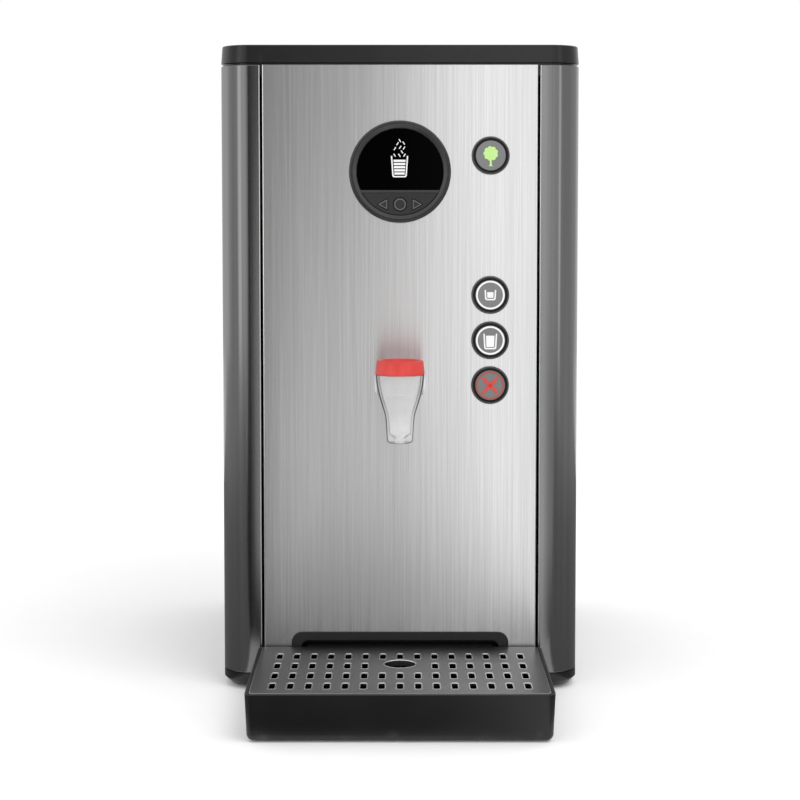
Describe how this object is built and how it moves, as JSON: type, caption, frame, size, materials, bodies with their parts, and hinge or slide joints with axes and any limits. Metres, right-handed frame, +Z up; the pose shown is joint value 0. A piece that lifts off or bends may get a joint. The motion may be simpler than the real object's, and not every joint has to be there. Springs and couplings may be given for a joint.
{
  "type": "countertop hot water dispenser",
  "caption": "Slim stainless and charcoal countertop hot water dispenser with a round display, push buttons, a clear nozzle with a red cap and a pull-out drip tray",
  "frame": {"origin": "on the counter, under the middle of the bounding box of the whole machine", "axes": "+Z up, -Y is the front with the spout and tray, +X is the side with the buttons"},
  "size_m": [0.235, 0.4, 0.423],
  "materials": {
    "charcoal_plastic": "fine-textured moulded plastic",
    "black_plastic": "satin moulded plastic",
    "side_aluminium": "anthracite anodised, fine vertical extrusion lines",
    "brushed_stainless": "vertical brushed grain",
    "grille_stainless": "brushed, edges rolled bright",
    "bright_steel": "plain",
    "tank_steel": "bead blasted",
    "brass_fittings": "machined",
    "black_rubber": "matt",
    "red_silicone": "matt",
    "ring_plastic": "satin",
    "keypad_plastic": "fine texture",
    "display_gloss": "mirror gloss",
    "circuit_board": "solder mask",
    "arm_plastic": "satin",
    "clear_plastic": "clear, polished",
    "red_plastic": "semi gloss",
    "insulation_foam": "closed-cell foam",
    "bakelite": "moulded",
    "silicone_hose": "translucent silicone",
    "white_nylon": "moulded",
    "heatsink_aluminium": "extruded",
    "button_grey": "satin"
  },
  "bodies": {
    "housing": {"base_chassis": "charcoal_plastic", "board_standoffs": "white_nylon", "boil_dry_thermostat": "bakelite", "boiler_bracket": "tank_steel", "boiler_gasket": "red_silicone", "boiler_insulation": "insulation_foam", "boiler_lid": "tank_steel", "boiler_lid_screws": "bright_steel", "boiler_tank": "tank_steel", "button_board": "circuit_board", "cable_gland": "black_plastic", "control_board": "circuit_board", "dispense_valve_body": "brass_fittings", "dispense_valve_coil": "bakelite", "display_bezel": "ring_plastic", "display_board": "circuit_board", "display_window": "display_gloss", "drain_spigot": "brass_fittings", "eco_bezel": "ring_plastic", "front_panel": "brushed_stainless", "heating_element": "tank_steel", "housing_screws": "bright_steel", "inlet_hose": "silicone_hose", "inlet_valve_body": "brass_fittings", "inlet_valve_coil": "bakelite", "keypad_crescent": "keypad_plastic", "large_cup_bezel": "ring_plastic", "left_side_panel": "side_aluminium", "level_probes": "tank_steel", "niche_bezel": "black_plastic", "outlet_hose": "silicone_hose", "power_relay": "heatsink_aluminium", "power_switch_frame": "black_plastic", "rear_panel": "brushed_stainless", "right_side_panel": "side_aluminium", "rubber_feet": "black_rubber", "small_cup_bezel": "ring_plastic", "spout_arm": "arm_plastic", "spout_gasket": "black_rubber", "spout_nozzle": "clear_plastic", "spout_nut": "brass_fittings", "stop_bezel": "ring_plastic", "temperature_sensor": "tank_steel", "terminal_block": "white_nylon", "top_lid": "charcoal_plastic", "vent_tube": "tank_steel"},
    "tray": {"drip_tray": "charcoal_plastic", "tray_feet": "black_rubber"},
    "grille": {"drip_grille": "grille_stainless"},
    "cap": {"spout_cap": "red_plastic"},
    "eco_push": {"eco_button": "button_grey"},
    "small_cup_push": {"small_cup_button": "button_grey"},
    "large_cup_push": {"large_cup_button": "button_grey"},
    "stop_push": {"stop_button": "button_grey"},
    "left_push": {"key_left": "keypad_plastic"},
    "ok_push": {"key_ok": "keypad_plastic"},
    "right_push": {"key_right": "keypad_plastic"},
    "rocker": {"power_rocker": "black_plastic"},
    "dispense_armature": {"dispense_plunger": "bright_steel"},
    "inlet_armature": {"inlet_plunger": "bright_steel"}
  },
  "joints": [
    {"name": "tray_slide", "type": "slide", "parent": "housing", "child": "tray", "axis": [0, -1, 0], "range_m": [0, 0.135]},
    {"name": "grille_tip", "type": "hinge", "parent": "tray", "child": "grille", "pos_m": [0, -0.077, 0.0283], "axis": [-1, 0, 0], "range_deg": [0, 25]},
    {"name": "cap_lift", "type": "slide", "parent": "housing", "child": "cap", "axis": [0, 0, 1], "range_m": [0, 0.03]},
    {"name": "eco_press", "type": "slide", "parent": "housing", "child": "eco_push", "axis": [0, 1, 0], "range_m": [0, 0.0015], "stiffness_N_per_m": 500, "springref_m": -0.002},
    {"name": "small_cup_press", "type": "slide", "parent": "housing", "child": "small_cup_push", "axis": [0, 1, 0], "range_m": [0, 0.0015], "stiffness_N_per_m": 500, "springref_m": -0.002},
    {"name": "large_cup_press", "type": "slide", "parent": "housing", "child": "large_cup_push", "axis": [0, 1, 0], "range_m": [0, 0.0015], "stiffness_N_per_m": 500, "springref_m": -0.002},
    {"name": "stop_press", "type": "slide", "parent": "housing", "child": "stop_push", "axis": [0, 1, 0], "range_m": [0, 0.0015], "stiffness_N_per_m": 500, "springref_m": -0.002},
    {"name": "left_key_press", "type": "slide", "parent": "housing", "child": "left_push", "axis": [0, 1, 0], "range_m": [0, 0.0005], "stiffness_N_per_m": 800, "springref_m": -0.001},
    {"name": "ok_key_press", "type": "slide", "parent": "housing", "child": "ok_push", "axis": [0, 1, 0], "range_m": [0, 0.0005], "stiffness_N_per_m": 800, "springref_m": -0.001},
    {"name": "right_key_press", "type": "slide", "parent": "housing", "child": "right_push", "axis": [0, 1, 0], "range_m": [0, 0.0005], "stiffness_N_per_m": 800, "springref_m": -0.001},
    {"name": "rocker_tip", "type": "hinge", "parent": "housing", "child": "rocker", "pos_m": [0.06, 0.182, 0.078], "axis": [0, 0, 1], "range_deg": [-16, 0]},
    {"name": "dispense_lift", "type": "slide", "parent": "housing", "child": "dispense_armature", "axis": [0, 0, 1], "range_m": [0, 0.002], "stiffness_N_per_m": 300, "springref_m": -0.003},
    {"name": "inlet_lift", "type": "slide", "parent": "housing", "child": "inlet_armature", "axis": [0, 0, 1], "range_m": [0, 0.002], "stiffness_N_per_m": 300, "springref_m": -0.003}
  ]
}
